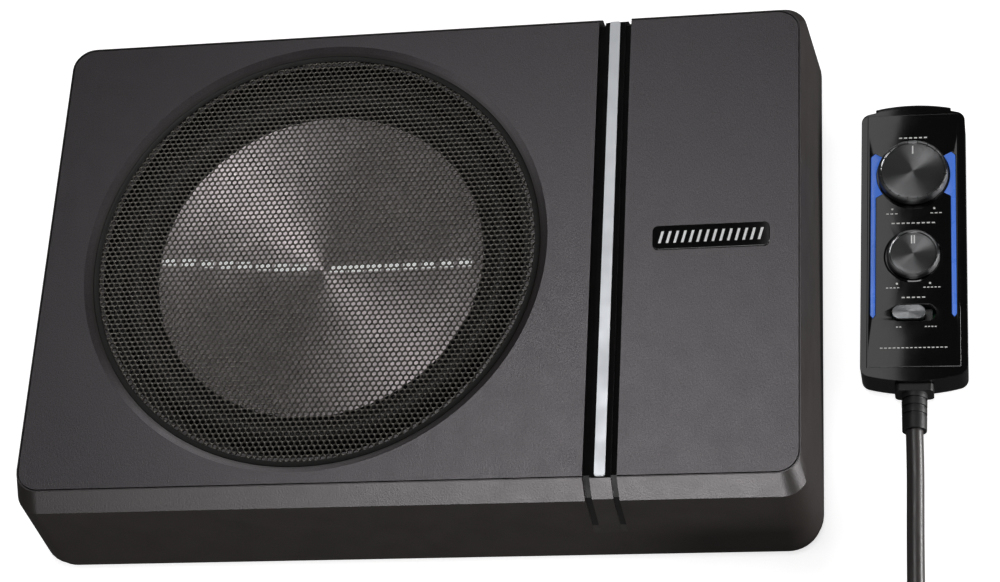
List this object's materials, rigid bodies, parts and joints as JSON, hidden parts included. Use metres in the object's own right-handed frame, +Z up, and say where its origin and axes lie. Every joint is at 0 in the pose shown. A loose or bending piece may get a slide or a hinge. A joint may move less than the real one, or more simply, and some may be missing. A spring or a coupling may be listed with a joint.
{
  "type": "powered car subwoofer with wired remote",
  "caption": "Flat powered car subwoofer: metal cone behind a round grille, textured panels, bright strip, amplifier inside, wired remote with knobs and a slider.",
  "frame": {"origin": "centre of the enclosure's flat underside, on the floor", "axes": "+X along the enclosure's long side, from the loudspeaker to the remote; +Y towards the connector bay in the back wall; +Z up"},
  "size_m": [0.4146, 0.41, 0.0608],
  "materials": {
    "case_black": "fine-grained black",
    "panel_texture": "warm dark grey with a fine cloth-like texture",
    "strip_metal": "satin",
    "gloss_black": "polished black",
    "grille_black": "satin black, pierced",
    "screw_steel": "zinc",
    "brass": "machined",
    "rubber_black": "matte",
    "basket_black": "black coating on pressed steel",
    "cone_metal": "spun",
    "spider_cloth": "resin-dipped cloth",
    "former_metal": "bare",
    "copper": "enamelled copper wire",
    "iron": "zinc-coated iron",
    "ferrite": "ferrite",
    "terminal_brown": "resin board",
    "wire_red": "insulated wire",
    "board_green": "coated circuit board",
    "heat_sink_metal": "extruded",
    "chip_black": "moulded",
    "capacitor_blue": "sleeved can",
    "socket_white": "moulded",
    "fuse_orange": "clear orange",
    "guide_blue": "blue light guide",
    "knob_metal": "dark spun metal",
    "shaft_steel": "turned",
    "pot_body": "plated case",
    "slider_metal": "dark metallic",
    "cord_jacket": "satin black jacket",
    "tie_black": "hook and loop strap",
    "plug_clear": "clear moulded"
  },
  "bodies": {
    "main": {"upper_case": "case_black", "speaker_panel": "panel_texture", "side_panel": "panel_texture", "trim_strip": "strip_metal", "badge_plate": "gloss_black", "grille": "grille_black", "base_plate": "case_black", "case_gasket": "rubber_black", "case_screws": "screw_steel", "mount_inserts": "brass", "driver_gasket": "rubber_black", "driver_basket": "basket_black", "surround": "rubber_black", "spider": "spider_cloth", "top_plate": "iron", "magnet": "ferrite", "pole_yoke": "iron", "terminal_strip": "terminal_brown", "tinsel_leads": "copper", "driver_screws": "screw_steel", "speaker_leads": "wire_red", "amp_board": "board_green", "board_screws": "screw_steel", "heat_sink": "heat_sink_metal", "power_transistors": "chip_black", "capacitors": "capacitor_blue", "toroid_coil": "copper", "filter_inductors": "ferrite", "control_chips": "chip_black", "connector_panel": "case_black", "panel_screws": "screw_steel", "rca_jacks": "brass", "speaker_socket": "socket_white", "remote_jack": "case_black", "power_terminal": "case_black", "fuse": "fuse_orange", "remote_base": "gloss_black", "remote_cover": "gloss_black", "remote_face": "gloss_black", "remote_end_cap": "gloss_black", "light_guides": "guide_blue", "volume_pot": "pot_body", "frequency_pot": "pot_body", "phase_switch": "chip_black", "remote_board": "board_green", "remote_screws": "screw_steel", "cord_boot": "rubber_black", "cord_tube": "cord_jacket", "cord_coil": "cord_jacket", "cord_tie": "tie_black", "plug_shell": "plug_clear", "plug_boot": "rubber_black"},
    "cone_assembly": {"cone": "cone_metal", "coil_former": "former_metal", "coil_winding": "copper"},
    "volume_control": {"volume_knob": "knob_metal", "volume_shaft": "shaft_steel"},
    "frequency_control": {"frequency_knob": "knob_metal", "frequency_shaft": "shaft_steel"},
    "phase_control": {"phase_slider": "slider_metal"}
  },
  "joints": [
    {"name": "cone_travel", "type": "slide", "parent": "main", "child": "cone_assembly", "axis": [0, 0, 1], "range_m": [-0.004, 0.004], "stiffness_N_per_m": 1500, "deforming": ["surround", "spider"]},
    {"name": "volume_turn", "type": "hinge", "parent": "main", "child": "volume_control", "pos_m": [0.21611, 0.04908, 0.015], "axis": [0, 0, 1], "range_deg": [-150, 150]},
    {"name": "frequency_turn", "type": "hinge", "parent": "main", "child": "frequency_control", "pos_m": [0.2154, 0.00839, 0.015], "axis": [0, 0, 1], "range_deg": [-150, 150]},
    {"name": "phase_slide", "type": "slide", "parent": "main", "child": "phase_control", "axis": [0.9998, -0.0175, 0], "range_m": [0, 0.004]}
  ]
}
